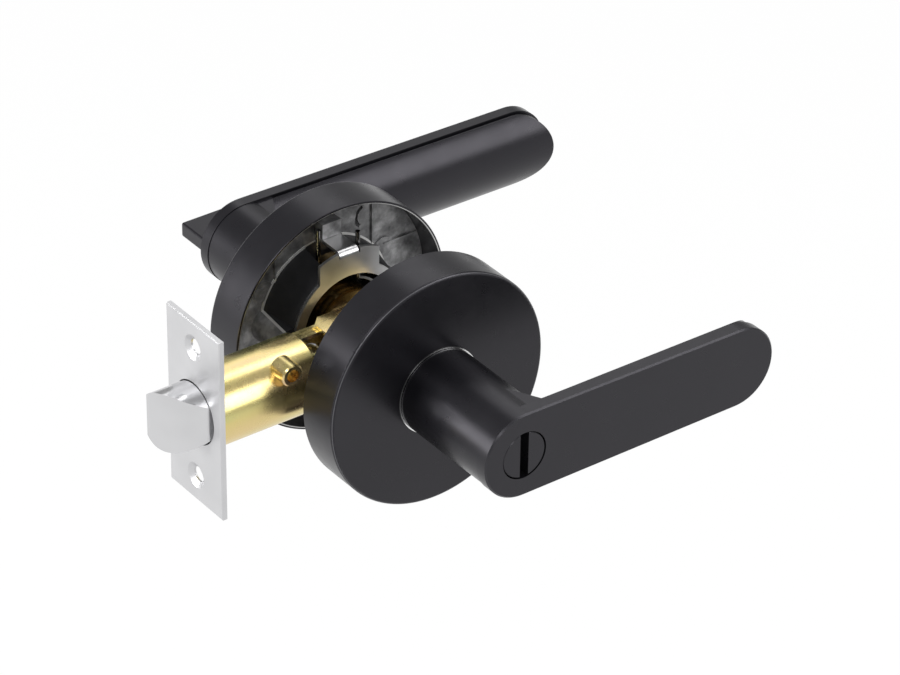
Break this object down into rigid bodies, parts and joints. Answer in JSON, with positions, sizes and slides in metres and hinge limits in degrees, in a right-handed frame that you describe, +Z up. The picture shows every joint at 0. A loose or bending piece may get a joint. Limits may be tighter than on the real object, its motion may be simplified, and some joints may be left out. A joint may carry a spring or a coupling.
{
  "type": "lever door lock",
  "caption": "Privacy lever lock for a door: a straight flat lever on a round rose each side, a spindle between them, and a tubular spring latch with a square-cornered faceplate.",
  "frame": {"origin": "Where the spindle's axis crosses the latch's axis, in the middle of the door's thickness.", "axes": "+X runs along the latch, away from the bolt and along the levers at rest. +Y runs along the spindle, out of the inside rose. +Z is up."},
  "size_m": [0.1785, 0.149, 0.071],
  "materials": {
    "black_paint": "matte",
    "cast_zinc": "satin",
    "brass": "satin",
    "zinc_steel": "satin",
    "satin_steel": "satin",
    "bright_steel": "satin",
    "black_steel": "satin",
    "spring_steel": "satin"
  },
  "bodies": {
    "chassis": {"inside_rose": "black_paint", "inside_housing": "cast_zinc", "inside_neck_bush": "bright_steel", "inside_thrust_washer": "bright_steel", "inside_spring_cover": "satin_steel", "inside_return_spring": "spring_steel", "outside_rose": "black_paint", "outside_housing": "cast_zinc", "outside_neck_bush": "bright_steel", "outside_thrust_washer": "bright_steel", "outside_spring_cover": "satin_steel", "outside_return_spring": "spring_steel", "mounting_posts": "bright_steel", "mounting_screws": "black_steel", "faceplate": "satin_steel", "latch_tube": "zinc_steel", "tube_stud": "zinc_steel", "spring_seat": "zinc_steel", "latch_case": "zinc_steel", "bolt_spring": "spring_steel"},
    "lever_set": {"inside_hub_sleeve": "brass", "inside_retaining_ring": "bright_steel", "inside_lever": "black_paint", "outside_hub_sleeve": "brass", "outside_retaining_ring": "bright_steel", "outside_lever": "black_paint", "grub_screws": "black_steel", "spindle": "bright_steel", "cam_hub": "zinc_steel"},
    "latch_slide": {"latch_bolt": "satin_steel", "draw_rod": "bright_steel", "rod_nut": "bright_steel", "retractor": "zinc_steel"},
    "privacy_turn": {"privacy_rod": "bright_steel", "coin_release": "black_paint", "thumb_turn": "black_paint"}
  },
  "joints": [
    {"name": "lever_turn", "type": "hinge", "parent": "chassis", "child": "lever_set", "pos_m": [0, 0, 0], "axis": [0, 1, 0], "range_deg": [0, 60], "stiffness_Nm_per_rad": 0.8, "springref_deg": -25.78, "deforming": ["inside_return_spring", "outside_return_spring"]},
    {"name": "bolt_slide", "type": "slide", "parent": "chassis", "child": "latch_slide", "axis": [1, 0, 0], "range_m": [0, 0.011], "stiffness_N_per_m": 300, "springref_m": -0.008, "deforming": ["bolt_spring"]},
    {"name": "privacy_turn_hinge", "type": "hinge", "parent": "lever_set", "child": "privacy_turn", "pos_m": [0, 0, 0], "axis": [0, 1, 0], "range_deg": [0, 90]}
  ],
  "couplings": [
    {"joint": "bolt_slide", "follows": "lever_turn", "m_per_rad": 0.010504}
  ]
}
